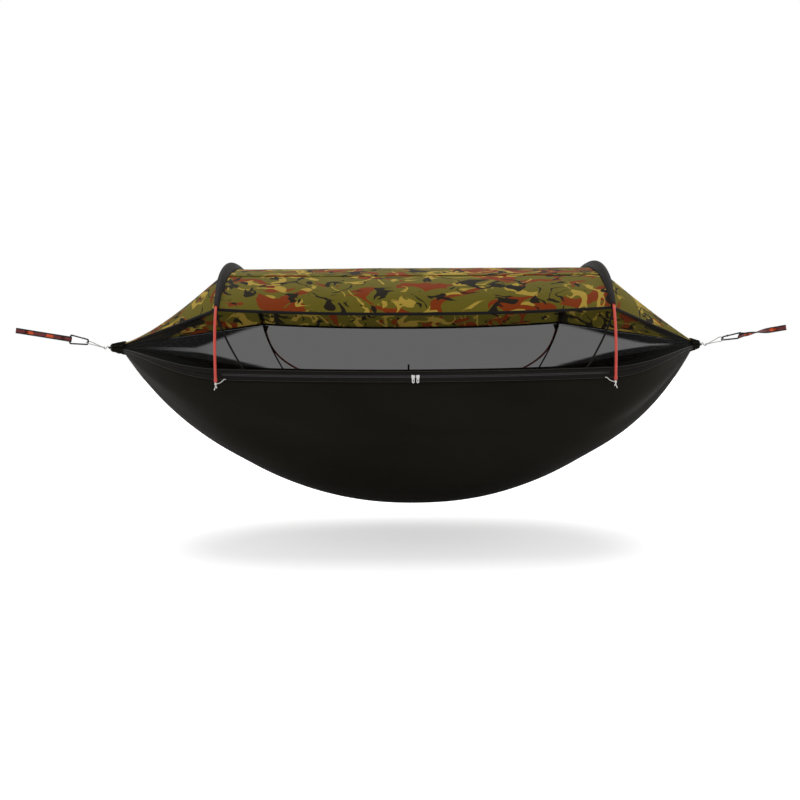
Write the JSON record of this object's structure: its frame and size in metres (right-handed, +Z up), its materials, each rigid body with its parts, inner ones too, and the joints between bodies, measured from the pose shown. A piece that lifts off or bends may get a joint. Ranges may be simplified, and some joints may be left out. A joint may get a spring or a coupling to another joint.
{
  "type": "hammock tent",
  "caption": "Camping hammock with a zipped insect net and a camouflage canopy over two arch poles, hung from webbing straps with carabiners.",
  "frame": {"origin": "bearing point of the left strap's outer eye, where it pulls on what it hangs from", "axes": "+X along the hammock from the left strap to the right one, +Y away from the zip side, +Z up"},
  "size_m": [2.8421, 0.9145, 0.8779],
  "materials": {
    "bed_nylon": "matte",
    "camouflage": "matte",
    "net_mesh": "matte",
    "black_webbing": "matte",
    "strap_webbing": "matte",
    "pole_red": "satin",
    "alloy": "satin",
    "gunmetal": "satin",
    "steel": "satin",
    "silver_cord": "matte",
    "white_elastic": "matte",
    "zip_plastic": "matte",
    "slider_white": "satin"
  },
  "bodies": {
    "straps": {"strap_left": "strap_webbing", "carabiner_left": "gunmetal", "gate_pin_left": "steel", "strap_right": "strap_webbing", "carabiner_right": "gunmetal", "gate_pin_right": "steel"},
    "hammock": {"hammock_bed": "bed_nylon", "zip_tape_lower": "black_webbing", "zip_tape_upper": "black_webbing", "bed_hem_back": "black_webbing", "zip_teeth_lower": "zip_plastic", "zip_teeth_upper": "zip_plastic", "canopy_centre": "camouflage", "canopy_trim_front": "black_webbing", "canopy_trim_back": "black_webbing", "net_front": "net_mesh", "net_back": "net_mesh", "hem_loop_back": "black_webbing", "zip_stop_left": "zip_plastic", "canopy_end_left": "camouflage", "net_end_front_left": "net_mesh", "net_end_back_left": "net_mesh", "corner_tab_left": "black_webbing", "pole_front_left": "pole_red", "pole_middle_left": "pole_red", "pole_back_left": "pole_red", "pole_ferrule_left_1": "alloy", "pole_ferrule_left_2": "alloy", "pole_cord_left": "white_elastic", "pole_sleeve_left": "black_webbing", "foot_tie_front_left": "white_elastic", "foot_tie_back_left": "white_elastic", "end_channel_left": "bed_nylon", "end_rope_left": "bed_nylon", "s_hook_left": "steel", "cord_loop_left": "silver_cord", "zip_stop_right": "zip_plastic", "canopy_end_right": "camouflage", "net_end_front_right": "net_mesh", "net_end_back_right": "net_mesh", "corner_tab_right": "black_webbing", "pole_front_right": "pole_red", "pole_middle_right": "pole_red", "pole_back_right": "pole_red", "pole_ferrule_right_1": "alloy", "pole_ferrule_right_2": "alloy", "pole_cord_right": "white_elastic", "pole_sleeve_right": "black_webbing", "foot_tie_front_right": "white_elastic", "foot_tie_back_right": "white_elastic", "end_channel_right": "bed_nylon", "end_rope_right": "bed_nylon", "s_hook_right": "steel", "cord_loop_right": "silver_cord"},
    "gate_left": {"carabiner_gate_left": "gunmetal"},
    "gate_right": {"carabiner_gate_right": "gunmetal"},
    "slider_left": {"zip_slider_left": "slider_white"},
    "slider_right": {"zip_slider_right": "slider_white"},
    "pull_left": {"zip_pull_left": "slider_white"},
    "pull_right": {"zip_pull_right": "slider_white"}
  },
  "joints": [
    {"name": "hammock_swing", "type": "hinge", "parent": "straps", "child": "hammock", "pos_m": [1.43245, 0, -0.04392], "axis": [1, 0, 0], "range_deg": [-25, 25]},
    {"name": "gate_left_hinge", "type": "hinge", "parent": "straps", "child": "gate_left", "pos_m": [0.2494, 0, -0.031], "axis": [0, -1, 0], "range_deg": [0, 30], "stiffness_Nm_per_rad": 0.05, "springref_deg": -5.73},
    {"name": "zip_left_travel", "type": "hinge", "parent": "hammock", "child": "slider_left", "pos_m": [1.46045, 7.51653, 4.05382], "axis": [0, -0.4695, 0.8829], "range_deg": [-3.5, 0]},
    {"name": "pull_left_hinge", "type": "hinge", "parent": "slider_left", "child": "pull_left", "pos_m": [1.45345, -0.43605, -0.17142], "axis": [-1, 0.0007, 0.0004], "range_deg": [0, 150]},
    {"name": "gate_right_hinge", "type": "hinge", "parent": "straps", "child": "gate_right", "pos_m": [2.61612, -0.00811, -0.03473], "axis": [-0.1264, 0.6428, 0.7555], "range_deg": [0, 30], "stiffness_Nm_per_rad": 0.05, "springref_deg": -5.73},
    {"name": "zip_right_travel", "type": "hinge", "parent": "hammock", "child": "slider_right", "pos_m": [1.46045, 7.51653, 4.05382], "axis": [0, -0.4695, 0.8829], "range_deg": [0, 3.5]},
    {"name": "pull_right_hinge", "type": "hinge", "parent": "slider_right", "child": "pull_right", "pos_m": [1.46745, -0.43605, -0.17142], "axis": [-1, -0.0007, -0.0004], "range_deg": [0, 150]}
  ]
}
